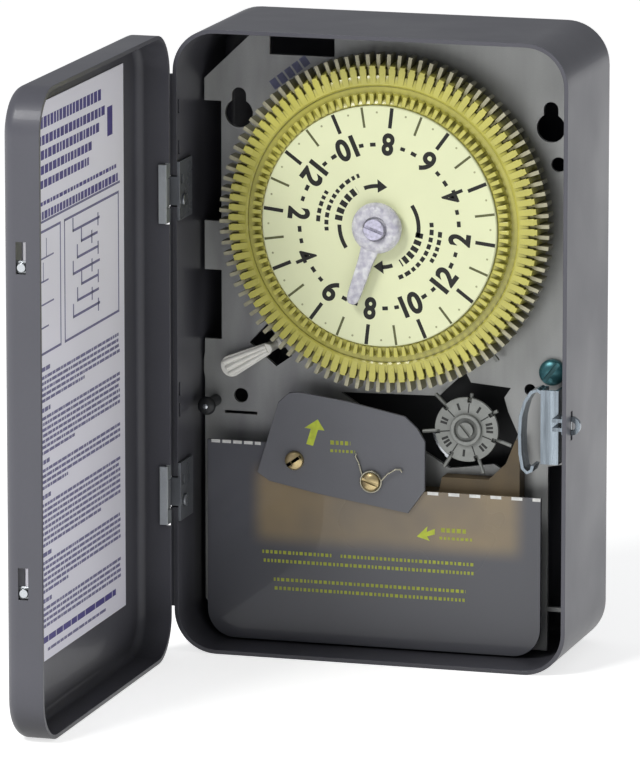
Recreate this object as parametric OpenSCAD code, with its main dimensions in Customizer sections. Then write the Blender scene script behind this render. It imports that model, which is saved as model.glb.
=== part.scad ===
// Dial time switch with a day-skipping wheel, in a sheet-steel wall case with a hinged door.
// Frame: +Z up, the open front faces -Y, and the origin is the centre of the rear wall's outer face.
// "depth" is always the distance behind the case's rim plane, so things in front of it are negative.

/* [Case] */
// Outer width of the case and the door
case_w = 126; // [122:1:132]
// Outer height of the case and the door
case_h = 197; // [194:1:204]
// Depth from the rim to the back of the rear wall
case_d = 54; // [54:1:60]
// Radius of the four corners seen from the front
corner_r = 13.5; // [10:0.5:16]
// Radius of the drawn edge round the rear wall and the door panel
roll_r = 4; // [3:0.5:5]
// Thickness of the steel sheet
sheet = 1.3; // [1:0.1:1.6]
// Radius of the four wall-fixing holes in the rear wall
fixing_r = 2.6; // [2:0.1:3]

/* [Door] */
// Depth of the door tray
door_d = 11.8; // [10:0.2:14]
// Gap between the closed door and the rim
door_gap = 0.4; // [0.3:0.1:0.8]
// Angle at which the door stands open at rest
door_open = 90; // [0:5:160]
// Height of each hinge leaf
leaf_h = 18.5; // [16:0.5:24]
// Distance of each hinge from the middle of the case
hinge_z = 47.5; // [40:0.5:60]

/* [Dial] */
// Sideways place of the dial's centre
dial_x = 0.7; // [0:0.1:1.5]
// Height of the dial's centre
dial_z = 38; // [37:0.5:39]
// Radius of the printed face
face_r = 37.6; // [36:0.1:37.8]
// Radius of the toothed plastic rings
ring_r = 48.1; // [47.5:0.1:48.5]
// Radius reached by the metal trippers
tripper_r = 53; // [51:0.1:53.4]
// Number of trippers, one for each quarter of an hour
stops = 96; // [48:48:96]
// Radius reached by the finger that steps the day wheel
kicker_r = 55; // [54.6:0.1:55.2]

/* [Day wheel] */
// Sideways place of the day wheel's centre
day_x = 26; // [25.8:0.1:26.2]
// Height of the day wheel's centre
day_z = -26.4; // [-26.6:0.1:-26.2]
// Radius of the day wheel's plate
day_r = 10.2; // [9.8:0.1:10.6]
// Radius reached by a day pin that is out
pin_out = 14.8; // [14.4:0.1:14.9]
// Radius reached by a day pin that is pushed in
pin_in = 11.2; // [10.8:0.1:11.6]

/* [Movement] */
// Depth of the chassis plate's front face
plate_depth = 26; // [26:0.1:26.4]
// Thickness of the chassis plate
plate_t = 1.5; // [1.2:0.1:1.6]
// Depth of the rear plate's front face
rear_depth = 38; // [38:0.1:38.4]
// Thickness of the rear plate
rear_t = 1.2; // [1:0.1:1.4]
// Teeth on the dial's gear
gear_teeth = 60; // [60:12:60]
// Teeth on the motor's pinion
pinion_teeth = 12; // [12:12:12]
// Radius of the motor's can
can_r = 22; // [18:0.5:23]
// Radial running clearance of every shaft
run = 0.05; // [0.03:0.01:0.08]

/* [Hidden] */

rim_y = -case_d;
inner_x = case_w / 2 - sheet;
inner_z = case_h / 2 - sheet;
rear_inside = case_d - sheet;

// Hinge: the pin runs just outboard of the left wall and in front of the rim.
hinge_x = -case_w / 2 - 1.8;
hinge_depth = -2.9;
barrel_r = 1.6;
hinge_pin_r = 0.8;
leaf_t = 0.9;
leaf_w = 12.9;
case_knuckle_h = 9;
bead_w = 1.2;
bead_end = 84;

// Dial: depths of its layers from the printed face backwards.
face_depth = 9;
face_t = 1.2;
lip_depth = 9.6;
groove_depth = 12.6;
lip_r = 41.4;
flange_r = 46.6;
groove_back = 13.4;
crown_depth = 12.5;
crown_back = 21;
web_back = 22;
skirt_back = 24.2;
skirt_r = 43.4;
skirt_outer = ring_r - 0.4;
slot_w = 1.2;
tripper_t = 0.7;
tripper_root = 44.6;
head_start = 49;
head_t = 1.2;
tripper_pivot = 46.4;
pip_r = 0.8;
tripper_front = 13.8;
tripper_back = 19.4;
arbor_r = 3;
loose_trippers = [27, 51, 75];

// Gears, module 1. The pinion sits below the dial's centre, behind the rings.
pinion_angle = -100;
gear_dist = (gear_teeth + pinion_teeth) / 2;
pinion_x = dial_x + gear_dist * cos(pinion_angle);
pinion_z = dial_z + gear_dist * sin(pinion_angle);
pinion_shaft_r = 1.5;
can_z = pinion_z + 14;
motor_depth = rear_depth + rear_t;
motor_plate_t = 1.2;
motor_lug = 27;
can_len = 10.6;
coil_z = can_z - can_r - 10;
coil_r = 6;
core_limb = 3.6;
lead_r = 1.1;
lead_depth = 46;

// Day wheel: seven pins, two of them pushed in, in line with the kicker's plane.
day_pins = 7;
first_pin_angle = 84;
pins_in = [0, 6];
pin_r = 0.6;
pin_depth = 21.6;
kicker_angle = -50.8;
stud_r = 2.5;

// Manual lever: it comes out through the chassis plate and turns about a stud behind the dial.
lever_tip = [-51, -11];
lever_bend = [-39.2, -4.9];
lever_pivot = [-24.4, 2.9];
lever_w = 3.4;
lever_tip_r = 3.3;
switch_tip = [-19.9, -31.5];
switch_arm_r = 1.2;
contact_reach = 32.4;
contact_depth = 31.5;
arm_tilt = atan2(switch_tip[0] - lever_pivot[0], lever_pivot[1] - switch_tip[1]);

// Lower half: board, cover and pointer plate stand in front of one another.
board_depth = 20;
cover_depth = 15.6;
cover_t = 1.2;
pointer_depth = 14.4;
pointer_t = 1.2;
brass_places = [[-28, -38.3], [-3.2, -43.5]];
cover_post_r = 2.9;
brass_r = 2.7;
terminal_x = [-32, -16, 0, 16, 32];
terminal_z = -55;
pillar_places = [[-34, 60], [37, 60], [-34, -38], [36, -4]];
post_places = [[27.5, 64], [-26, 64], [-50, -88], [38, -88]];
post_r = 4;
screw_r = 1.7;
ground_place = [51.9, -7.9];
side_place = [-57.3, -23];
fixing_places = [for (x = [-38, 38], z = [-78, 78]) [x, z]];
smooth = 64;

// ---- Shared shapes ----

function polar(r, a) = [r * cos(a), r * sin(a)];
function inv_deg(a) = tan(a) * 180 / PI - a;
function pressure(r, base_r) = acos(min(1, base_r / r));

// Half the angle that one gear tooth takes at radius r, thinned to leave backlash.
function tooth_half(r, n, base_r) =
    90 / n * 0.84 + inv_deg(pressure(n / 2, base_r)) - inv_deg(pressure(r, base_r));

// Outline of a module 1 gear with n teeth, each flank in the given number of steps.
function gear_outline(n, steps, base_r) =
    let (low = n / 2 - 1.1, tip = n / 2 + 0.78, start = max(low + 0.15, base_r))
    [for (i = [0:n - 1]) each concat(
        [polar(low, 360 * i / n - tooth_half(start, n, base_r))],
        [for (k = [0:steps]) let (r = start + (tip - start) * k / steps)
            polar(r, 360 * i / n - tooth_half(r, n, base_r))],
        [for (k = [steps:-1:0]) let (r = start + (tip - start) * k / steps)
            polar(r, 360 * i / n + tooth_half(r, n, base_r))],
        [polar(low, 360 * i / n + tooth_half(start, n, base_r))])];

// Outline of a ring edge cut by one parallel-sided slot at each stop.
function crown_outline(slot_r, outer_r, width) =
    [for (i = [0:stops - 1])
        let (a = (i + 0.5) * 360 / stops, ho = asin(width / 2 / outer_r), hs = asin(width / 2 / slot_r))
        each [polar(outer_r, a - ho), polar(slot_r, a - hs), polar(slot_r, a + hs), polar(outer_r, a + ho)]];

// Outline of a bent strip: its centre line moved by half the thickness to each side.
function path_normal(path, i) =
    let (d = path[min(i + 1, len(path) - 1)] - path[max(i - 1, 0)]) [-d[1], d[0]] / norm(d);
function strip(path, half) = concat(
    [for (i = [0:len(path) - 1]) path[i] + half * path_normal(path, i)],
    [for (i = [len(path) - 1:-1:0]) path[i] - half * path_normal(path, i)]);

// A flat outline in X and Z becomes a plate whose front face is at this depth.
module plate(depth, t) {
    translate([0, rim_y + depth + t, 0]) rotate([90, 0, 0]) linear_extrude(t) children();
}

// A round bar along Y.
module bar(x, z, depth, length, r) {
    translate([x, rim_y + depth + length, z]) rotate([90, 0, 0]) cylinder(h = length, r = r, $fn = smooth);
}

// A cheese-head screw seen from the front, its slot turned by an angle.
module slotted_screw(x, z, head_depth, head_t, head_r, shank_len, shank_r, angle) {
    difference() {
        bar(x, z, head_depth, head_t, head_r);
        translate([x, rim_y + head_depth, z]) rotate([0, angle, 0])
            cube([head_r * 2.2, head_t, head_r * 0.3], center = true);
    }
    bar(x, z, head_depth + head_t, shank_len, shank_r);
}

// A straight link with round ends, as a flat outline.
module link(p, q, r) {
    run_len = norm(q - p);
    translate(p) circle(r = r, $fn = smooth);
    translate(q) circle(r = r, $fn = smooth);
    translate(p) rotate(atan2(q[1] - p[1], q[0] - p[0])) translate([0, -r]) square([run_len, 2 * r]);
}

module ring2d(outer_r, inner_r) {
    difference() {
        circle(r = outer_r, $fn = smooth);
        circle(r = inner_r, $fn = smooth);
    }
}

// Section through a drawn edge: w deep into the sheet's corner, d tall, rounded at the closed end.
module edge_section(w, d, e) {
    square([w - e, d]);
    square([w, d - e]);
    translate([w - e, d - e]) circle(r = e, $fn = smooth);
}

// A block with round corners and a rounded edge at its closed end, z = d.
module drawn_block(w, h, d, r, e) {
    cx = w / 2 - r;
    cy = h / 2 - r;
    for (sx = [0, 1], sy = [0, 1]) mirror([sx, 0, 0]) mirror([0, sy, 0]) translate([cx, cy, 0])
        rotate_extrude(angle = 90, $fn = smooth) edge_section(r, d, e);
    for (sx = [0, 1]) mirror([sx, 0, 0]) translate([cx, cy, 0]) rotate([90, 0, 0])
        linear_extrude(2 * cy) edge_section(r, d, e);
    for (sy = [0, 1]) mirror([0, sy, 0]) translate([-cx, cy, 0]) rotate([90, 0, 90])
        linear_extrude(2 * cx) edge_section(r, d, e);
    translate([-cx, -cy, 0]) cube([2 * cx, 2 * cy, d]);
}

module drawn_tray(w, h, d, r, e) {
    difference() {
        drawn_block(w, h, d, r, e);
        translate([0, 0, -1]) drawn_block(w - 2 * sheet, h - 2 * sheet, d + 1 - sheet, r - sheet, e - sheet);
    }
}

// A box given by its low and high corner, with its depths measured from the rim.
module block(x0, x1, d0, d1, z0, z1) {
    translate([x0, rim_y + d0, z0]) cube([x1 - x0, d1 - d0, z1 - z0]);
}

// Places a thing drawn in the closed door's position at the door's rest angle.
module on_door() {
    translate([hinge_x, rim_y + hinge_depth, 0]) rotate([0, 0, -door_open])
        translate([-hinge_x, -rim_y - hinge_depth, 0]) children();
}

// ---- Case ----

module case_body() {
    color("#5b5d60") difference() {
        union() {
            translate([0, rim_y, 0]) rotate([-90, 0, 0]) drawn_tray(case_w, case_h, case_d, corner_r, roll_r);
            hinge_side_bead();
        }
        for (p = fixing_places) bar(p[0], p[1], case_d - 5, 8, fixing_r);
        for (s = [-1, 1])
            block(-case_w / 2 - bead_w - 1, -inner_x + 1, -1, 1.15, s * hinge_z - case_knuckle_h / 2 - 0.4,
                s * hinge_z + case_knuckle_h / 2 + 0.4);
        for (z = [73.7, 60.9, -15.3, -21.9]) block(-case_w / 2 - 1, -inner_x + 1, 1.4, 2.9, z - 2.2, z + 2.2);
        block(inner_x - 1, case_w / 2 + 1, 5.7, 7.8, -25, -16);
        knockout_grooves();
    }
}

// A bead on the hinge side closes the gap beside the open door.
module hinge_side_bead() {
    block(-case_w / 2 - bead_w, -inner_x, 0.2, 1.8, -bead_end, bead_end);
}

// Part-sheared rings in the bottom and the rear wall, where a conduit opening can be knocked out.
module knockout_grooves() {
    for (x = [-30, 30]) translate([x, rim_y + 32, -case_h / 2 - 1]) groove_ring();
    translate([0, 1, -62]) rotate([90, 0, 0]) groove_ring();
}

module groove_ring() {
    linear_extrude(1.7) ring2d(11.3, 10.7);
}

module mounting_posts() {
    color("silver") for (p = concat(post_places, [ground_place])) difference() {
        bar(p[0], p[1], plate_depth + plate_t, rear_inside - plate_depth - plate_t, post_r);
        bar(p[0], p[1], plate_depth + plate_t - 1, 13, screw_r);
    }
}

module post_screws() {
    color("silver") for (p = post_places)
        slotted_screw(p[0], p[1], plate_depth - 1.4, 1.4, 3, 9, screw_r, 30);
}

module ground_screw() {
    color("#3f7f77") slotted_screw(ground_place[0], ground_place[1], plate_depth - 3, 3, 4, 9, screw_r, 62);
}

// The round-headed stud at the left edge of the chassis.
module side_stud() {
    color("#4a4b4c") {
        bar(side_place[0], side_place[1], 15, 1.6, 2.9);
        bar(side_place[0], side_place[1], 16.6, plate_depth - 16.6, 1.8);
    }
}

// ---- Hinges ----

module barrel(z0, z1, bore) {
    translate([hinge_x, rim_y + hinge_depth, z0]) difference() {
        cylinder(h = z1 - z0, r = barrel_r, $fn = smooth);
        translate([0, 0, -1]) cylinder(h = z1 - z0 + 2, r = bore, $fn = smooth);
    }
}

// The case leaf wraps from inside the wall, across its notched rim and round the outside to the barrel.
module hinge_case_leaves() {
    half = case_knuckle_h / 2;
    color("#8f9490") for (z = [-hinge_z, hinge_z]) difference() {
        union() {
            block(-inner_x, -inner_x + leaf_t, 0.1, leaf_w, z - leaf_h / 2, z + leaf_h / 2);
            block(hinge_x - 1.5, -inner_x + leaf_t, 0.1, 0.1 + leaf_t, z - half, z + half);
            block(hinge_x - 1.5, hinge_x - 0.9, hinge_depth, 1, z - half, z + half);
            barrel(z - half, z + half, hinge_pin_r);
        }
        translate([hinge_x, rim_y + hinge_depth, z - half - 1])
            cylinder(h = case_knuckle_h + 2, r = hinge_pin_r, $fn = smooth);
        block(-inner_x - 1, -inner_x + 2, 2, 3.6, z + 2, z + 5);
    }
}

module hinge_pins() {
    color("silver") for (s = [-1, 1]) translate([hinge_x, rim_y + hinge_depth, s * hinge_z - leaf_h / 2])
        cylinder(h = leaf_h, r = hinge_pin_r, $fn = smooth);
}

module case_leaf_rivets() {
    color("white") for (s = [-1, 1])
        translate([-inner_x + leaf_t, rim_y + 4, s * hinge_z - 3.2]) rotate([0, 90, 0])
            cylinder(h = 0.8, r = 2, $fn = smooth);
}

module hinge_door_leaves() {
    end_h = (leaf_h - case_knuckle_h) / 2 - 0.3;
    color("#8f9490") on_door() for (s = [-1, 1]) {
        block(-inner_x, -inner_x + leaf_t, -3.6, -1, s * hinge_z - leaf_h / 2, s * hinge_z + leaf_h / 2);
        for (z0 = [-leaf_h / 2, leaf_h / 2 - end_h]) difference() {
            union() {
                block(hinge_x, -inner_x + leaf_t, -1.9, -1, s * hinge_z + z0, s * hinge_z + z0 + end_h);
                barrel(s * hinge_z + z0, s * hinge_z + z0 + end_h, hinge_pin_r + run);
            }
            translate([hinge_x, rim_y + hinge_depth, s * hinge_z + z0 - 1])
                cylinder(h = end_h + 2, r = hinge_pin_r + run, $fn = smooth);
        }
    }
}

// ---- Door ----

module door_shell() {
    color("#65676c") on_door() difference() {
        translate([0, rim_y - door_gap, 0]) rotate([90, 0, 0])
            drawn_tray(case_w, case_h, door_d, corner_r, roll_r);
        for (s = [-1, 1]) {
            block(-case_w / 2 - 1, -inner_x + 0.5, -2.1, 1, s * hinge_z - leaf_h / 2 - 0.4,
                s * hinge_z + leaf_h / 2 + 0.4);
            block(inner_x - 1, case_w / 2 + 1, -7.9, -4.8, s * 49 - 4.8, s * 49 + 4.8);
        }
    }
}

module door_label() {
    back = sheet - door_d - door_gap;
    color("#e4e2ee") on_door() block(-48, 48, back, back + 0.3, -80, 90);
}

// Spring clips inside the door's free edge; each nose shows in its slot.
module door_catch_clips() {
    color("gainsboro") on_door() for (s = [-1, 1]) {
        block(inner_x - 0.8, inner_x, -8.1, -4.1, s * 49 - 7, s * 49 - 1);
        translate([inner_x - 0.4, rim_y - 6.35, s * 49 - 2.9]) rotate([0, 90, 0])
            cylinder(h = 1.5, r = 1.35, $fn = smooth);
    }
}

// ---- Latch ----

// Formed spring clip: a channel, a bow and an eye that stands out through the right wall.
module latch_clip() {
    latch_depth = 12;
    latch_len = 7;
    bow = [[52.4, -12.2], [50.6, -11.2], [48.6, -12], [46.6, -15.2], [45.3, -20], [45, -25.5], [45.2, -31.5],
        [46, -36], [47.4, -37.3], [48.8, -36.6], [49.2, -35]];
    color("gainsboro") {
        difference() {
            block(51.7, 57.4, latch_depth, latch_depth + latch_len, -34.3, -11);
            block(52.6, 56.4, latch_depth + 1, latch_depth + latch_len + 1, -36, -10);
        }
        plate(latch_depth, latch_len) polygon(strip(bow, 0.5));
        for (z = [-22.5, -19.7]) block(57, 61, 6, latch_depth + 1, z, z + 1.2);
        block(60, 63, 6, 7.4, -23.4, -17.6);
        plate(6, 1.4) translate([63, -20.5]) intersection() {
            ring2d(2.9, 1.4);
            translate([-0.2, -5]) square([5, 10]);
        }
    }
}

// ---- Movement frame ----

module keyhole(x, z) {
    translate([x, z]) circle(r = 4.5, $fn = smooth);
    translate([x, z + 5.8]) circle(r = 2.3, $fn = smooth);
    translate([x - 2.3, z]) square([4.6, 5.8]);
}

module chassis_plate() {
    outline = [[-51.5, -96.6], [-60.9, -87], [-60.9, -16], [-61.3, -14], [-61.3, -10], [-60.9, -8],
        [-60.9, -3.5], [-55.4, -3.5], [-55.4, 18.5], [-60.9, 18.5], [-60.9, 34], [-55.4, 34], [-55.4, 72], [-60.9, 72],
        [-60.9, 79], [-47, 92.3], [-45, 94], [-39.6, 94], [-39.6, 87.4], [-18.6, 87.4], [-18.6, 94],
        [50, 94], [61, 83], [61, -36], [50.5, -38], [50.5, -82.6], [61, -82.6], [61, -84], [50.5, -84],
        [50.5, -96.6]];
    wheel_opening = [[-16.5, -18.2], [15.4, -17.6], [23.8, -9.4], [25.6, -12.8], [38.4, -13.8],
        [36.3, -17], [37.6, -21.4], [40.8, -28.4], [36.1, -39.8], [33, -38.2], [19, -40.4], [8, -34]];
    color("#6f7470") plate(plate_depth, plate_t) difference() {
        polygon(outline);
        polygon(wheel_opening);
        polygon([[-46.2, -4], [-40.6, 2.2], [-32.4, -7.6], [-37.5, -11.2]]);
        translate([-54.4, -27]) square([10.6, 0.9]);
        translate([-37, -63]) square([76, 15]);
        for (x = [-49.6, 50.8]) keyhole(x, 68.4);
        for (p = [[53.3, 57.1, 2.3], [-49.1, -21.1, 2.3], [44.6, -14, 1.8], [dial_x, dial_z, arbor_r],
            [pinion_x, pinion_z, 3]]) translate([p[0], p[1]]) circle(r = p[2], $fn = smooth);
        for (p = concat(post_places, [ground_place])) translate(p) circle(r = screw_r, $fn = smooth);
    }
}

module rear_plate() {
    color("#7d817d") plate(rear_depth, rear_t) difference() {
        translate([-40, -44]) square([82, 112]);
        for (p = [post_places[0], post_places[1]]) translate(p) circle(r = post_r + 0.4, $fn = smooth);
        for (p = [[dial_x, dial_z, arbor_r], [pinion_x, pinion_z, pinion_shaft_r + run]])
            translate([p[0], p[1]]) circle(r = p[2], $fn = smooth);
        for (s = [-motor_lug, motor_lug]) translate([pinion_x + s, can_z]) circle(r = screw_r, $fn = smooth);
    }
}

module plate_pillars() {
    gap = rear_depth - plate_depth - plate_t;
    color("#b9a25a") for (p = pillar_places) bar(p[0], p[1], plate_depth + plate_t, gap, 2.6);
}

module dial_arbor() {
    color("silver") bar(dial_x, dial_z, 8.2, rear_depth + rear_t - 8.2, arbor_r);
}

// The clear pointer stands still on the arbor and shows the time on the turning dial.
module time_pointer() {
    arm_end = [-7, 15];
    color("#dfe3e6") {
        plate(4, 3.4) difference() {
            translate([dial_x, dial_z]) circle(r = 8, $fn = smooth);
            translate([dial_x, dial_z]) circle(r = 1.6, $fn = smooth);
        }
        plate(5.4, 1.6) difference() {
            link([dial_x, dial_z], arm_end, 1.7);
            translate([dial_x, dial_z]) circle(r = 5, $fn = smooth);
        }
        bar_ring(dial_x, dial_z, 7.4, 0.8, 4.5, 1.6);
    }
}

module bar_ring(x, z, depth, length, outer_r, inner_r) {
    plate(depth, length) translate([x, z]) ring2d(outer_r, inner_r);
}

module pointer_screw() {
    color("gainsboro") slotted_screw(dial_x, dial_z, 2.6, 1.4, 3.2, 4.2, 1.6, 20);
}

module lever_stud() {
    gap = rear_depth - plate_depth - plate_t;
    color("silver") bar(lever_pivot[0], lever_pivot[1], plate_depth + plate_t, gap, 1.5);
}

// Fixed stud of the day wheel, with the slotted head that keeps the wheel on.
module day_stud() {
    color("#a9aca4") {
        slotted_screw(day_x, day_z, 17.9, 1.2, stud_r, 5.2, 1.8, 50);
        bar(day_x, day_z, 24.2, rear_depth - 24.2, 3.4);
    }
}

// ---- Dial ----

module dial_face() {
    color("#eef0bf") plate(face_depth, face_t) translate([dial_x, dial_z]) ring2d(face_r, 5);
}

// Front ring: notched lip round the face, then the floor of the groove.
module dial_front_ring() {
    color("#c8c45a") {
        plate(lip_depth, groove_depth - lip_depth) translate([dial_x, dial_z]) difference() {
            polygon(crown_outline(39, lip_r, slot_w));
            circle(r = face_r + 0.1, $fn = 96);
        }
        plate(groove_depth, groove_back - groove_depth) translate([dial_x, dial_z]) ring2d(43, 36);
        plate(face_depth + face_t, groove_depth - face_depth - face_t) translate([dial_x, dial_z])
            ring2d(face_r, 36);
    }
}

// Rear ring: the tall notched crown that holds the trippers, its web and its skirt.
module dial_rear_ring() {
    color("#c8c45a") {
        plate(crown_depth, crown_back - crown_depth) translate([dial_x, dial_z]) difference() {
            polygon(crown_outline(43.9, ring_r, slot_w));
            circle(r = skirt_r, $fn = 96);
        }
        plate(crown_depth + 0.4, 0.6) translate([dial_x, dial_z]) ring2d(flange_r, skirt_r);
        plate(crown_back, skirt_back - crown_back) translate([dial_x, dial_z]) ring2d(skirt_outer, skirt_r);
        plate(web_back - 1.5, 1.5) translate([dial_x, dial_z]) ring2d(43.6, 5);
        plate(groove_back, web_back - 1.5 - groove_back) translate([dial_x, dial_z]) ring2d(43.6, 42);
    }
}

module dial_hub() {
    color("#b8a860") plate(face_depth + 0.2, skirt_back + 1.2 - face_depth - 0.2)
        translate([dial_x, dial_z]) ring2d(5, arbor_r + run);
}

module dial_gear() {
    color("#b08d3a") plate(web_back, skirt_back - web_back) translate([dial_x, dial_z])
        rotate(pinion_angle) difference() {
            polygon(gear_outline(gear_teeth, 1, gear_teeth / 2 * cos(20)));
            circle(r = 5, $fn = smooth);
        }
}

// One tripper: a stamped tab with a folded head outside the ring, and a round pip of the given
// length across it, on which it tips.
module tripper_at(i, pips) {
    translate([dial_x, rim_y, dial_z]) rotate([0, -(i + 0.5) * 360 / stops, 0]) {
        translate([tripper_root, tripper_front, -tripper_t / 2])
            cube([tripper_r - tripper_root, tripper_back - tripper_front, tripper_t]);
        translate([head_start, tripper_front, -head_t / 2])
            cube([tripper_r - head_start, tripper_back - tripper_front, head_t]);
        translate([tripper_pivot, (tripper_front + tripper_back) / 2, -pips / 2])
            cylinder(h = pips, r = pip_r, $fn = 24);
    }
}

module trippers() {
    color("#a8aaa6") for (i = [0:stops - 1]) if (len(search(i, loose_trippers)) == 0)
        tripper_at(i, slot_w);
}

module loose_tripper(k) {
    color("#a8aaa6") tripper_at(loose_trippers[k], slot_w - 2 * run);
}

// Finger on the rear ring that steps the day wheel once a turn.
module day_kicker() {
    color("silver") plate(pin_depth - 0.6, 1.2) translate([dial_x, dial_z]) difference() {
        rotate(kicker_angle) translate([skirt_outer - 1, -0.6]) square([kicker_r - skirt_outer + 1, 1.2]);
        circle(r = skirt_outer, $fn = smooth);
    }
}

// ---- Motor ----

module motor_pinion() {
    color("#c9b26a") {
        plate(22.4, 2.4) translate([pinion_x, pinion_z]) rotate(pinion_angle + 180 + 180 / pinion_teeth)
            polygon(gear_outline(pinion_teeth, 3, pinion_teeth / 2 * cos(20)));
        bar(pinion_x, pinion_z, 24.8, motor_depth + 2.8 - 24.8, pinion_shaft_r);
    }
}

module motor_can() {
    color("#8a8d8f") difference() {
        union() {
            plate(motor_depth + motor_plate_t, can_len) translate([pinion_x, can_z]) circle(r = can_r, $fn = 96);
            plate(motor_depth, motor_plate_t) difference() {
                link([pinion_x - motor_lug, can_z], [pinion_x + motor_lug, can_z], 5);
                for (s = [-1, 1])
                    translate([pinion_x + s * motor_lug, can_z]) circle(r = screw_r, $fn = smooth);
            }
            plate(motor_depth, motor_plate_t) translate([pinion_x, can_z]) circle(r = can_r, $fn = 96);
        }
        bar(pinion_x, pinion_z, motor_depth - 1, 4.1, pinion_shaft_r + run);
    }
}

module motor_coil() {
    color("#6b3f22") translate([pinion_x - 12, rim_y + lead_depth, coil_z]) rotate([0, 90, 0]) difference() {
        cylinder(h = 24, r = coil_r, $fn = smooth);
        translate([-2.5, -2.5, -1]) cube([5, 5, 26]);
    }
}

// Stator core: a bar through the coil and two limbs that run up to the can.
module motor_core() {
    color("#53565a") {
        block(pinion_x - 16, pinion_x + 16, 43.5, 48.5, coil_z - 2.5, coil_z + 2.5);
        for (x0 = [pinion_x - 16, pinion_x + 16 - core_limb]) difference() {
            block(x0, x0 + core_limb, 41, 51, coil_z - 6, coil_z + 22);
            bar(pinion_x, can_z, 40, 12, can_r);
        }
    }
}

module motor_screws() {
    color("silver") for (s = [-motor_lug, motor_lug]) {
        bar(pinion_x + s, can_z, rear_depth, rear_t + motor_plate_t, screw_r);
        bar(pinion_x + s, can_z, motor_depth + motor_plate_t, 1.6, 3);
    }
}

// Two insulated leads drop from the coil and turn forward to the back of the terminal board.
module motor_leads() {
    color("#9c2f27") for (x = [pinion_x - 7, pinion_x + 7]) {
        translate([x, rim_y + lead_depth, terminal_z])
            cylinder(h = coil_z - coil_r - terminal_z, r = lead_r, $fn = smooth);
        translate([x, rim_y + lead_depth, terminal_z]) sphere(r = lead_r, $fn = smooth);
        bar(x, terminal_z, plate_depth, lead_depth - plate_depth, lead_r);
    }
}

// ---- Day wheel ----

module day_wheel() {
    color("#c9ccca") {
        plate(19.4, 1.2) translate([day_x, day_z]) difference() {
            circle(r = day_r, $fn = 96);
            circle(r = stud_r + 0.3, $fn = smooth);
            for (k = [0:day_pins - 1]) rotate(first_pin_angle + k * 360 / day_pins)
                translate([day_r - 1.8, -0.7]) square([3, 1.4]);
        }
        plate(18.4, 1) translate([day_x, day_z]) ring2d(4.8, 3.9);
    }
}

module day_carrier() {
    color("#8d908c") difference() {
        plate(20.6, 2.2) translate([day_x, day_z]) ring2d(9.4, 1.8 + run);
        for (k = [0:day_pins - 1]) pin_rod(k, 2.9, 10.5, pin_r + run);
    }
}

module pin_rod(k, r0, r1, r) {
    translate([day_x, rim_y + pin_depth, day_z]) rotate([0, 90 - first_pin_angle - k * 360 / day_pins, 0])
        translate([0, 0, r0]) cylinder(h = r1 - r0, r = r, $fn = 32);
}

module day_pin(k) {
    tip = len(search(k, pins_in)) > 0 ? pin_in : pin_out;
    color("gainsboro") pin_rod(k, tip - 8, tip, pin_r);
}

// Curved leaf behind the pins that steadies the wheel, riveted to the rear plate.
module detent_spring() {
    color("silver") {
        plate(22.9, 1) translate([day_x, day_z]) intersection() {
            ring2d(12, 11.2);
            rotate(188) square([14, 14]);
            rotate(146) square([14, 14]);
        }
        bar(day_x + 11.6 * cos(232), day_z + 11.6 * sin(232), 23.4, rear_depth - 23.4, 0.9);
    }
}

// ---- Switch ----

module manual_lever() {
    side = path_normal([lever_tip, lever_bend], 0);
    color("#e6e6e0") {
        plate(20.6, 2.8) {
            translate(lever_tip) circle(r = lever_tip_r, $fn = smooth);
            translate(lever_bend) circle(r = lever_w / 2, $fn = smooth);
            polygon([lever_tip + side * (lever_tip_r - 0.05), lever_bend + side * (lever_w / 2 - 0.05),
                lever_bend - side * (lever_w / 2 - 0.05), lever_tip - side * (lever_tip_r - 0.05)]);
        }
        plate(20.6, 9.4) translate(lever_bend) circle(r = lever_w / 2, $fn = smooth);
        plate(28.4, 1.6) difference() {
            link(lever_bend, lever_pivot, lever_w / 2);
            translate(lever_pivot) circle(r = 3.5, $fn = smooth);
        }
        bar_ring(lever_pivot[0], lever_pivot[1], 28.4, 1.6, 3.5, 1.5 + run);
    }
}

module switch_arm() {
    color("#3b2a20") plate(30, 3) difference() {
        union() {
            translate(lever_pivot) circle(r = 3.5, $fn = smooth);
            link(lever_pivot, switch_tip, switch_arm_r);
        }
        translate(lever_pivot) circle(r = 1.5 + run, $fn = smooth);
    }
}

module contact_disc(x0, x1, z) {
    translate([x0, 0, z]) rotate([0, 90, 0]) cylinder(h = x1 - x0, r = 1.5, $fn = smooth);
}

// The disc sits square on the arm's left face.
module moving_contact() {
    color("white") translate([lever_pivot[0], rim_y + contact_depth, lever_pivot[1]])
        rotate([0, -arm_tilt, 0]) contact_disc(-switch_arm_r - 0.9, -switch_arm_r, -contact_reach);
}

module fixed_contact() {
    color("#c8a04a") {
        block(-30, -29.2, plate_depth, 33.5, -57, -49);
        block(-30, -29.2, 28.5, 33.5, -57, -26);
        translate([0, rim_y + contact_depth, 0]) contact_disc(-29.2, -28.3, lever_pivot[1] - contact_reach);
    }
}

// ---- Terminal board and covers ----

module terminal_board() {
    outline = [[-41, -64.5], [43, -64.5], [43, -29], [41.6, -29], [38.6, -36.5], [33, -42], [18, -42],
        [17, -46.5], [-41, -46.5]];
    color("#7c5a3c") plate(board_depth, plate_depth - board_depth) difference() {
        polygon(outline);
        for (x = terminal_x) translate([x, terminal_z]) circle(r = 1.6, $fn = smooth);
    }
}

module terminal_screws() {
    color("silver") for (x = terminal_x)
        slotted_screw(x, terminal_z, board_depth - 2.4, 1.6, 3.4, 6.8, 1.6, 15 + x);
}

module terminal_clamps() {
    color("#b9a25a") for (x = terminal_x) plate(board_depth - 0.8, 0.8) translate([x, terminal_z])
        difference() {
            square([9, 9], center = true);
            circle(r = 1.6, $fn = smooth);
        }
}

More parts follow.
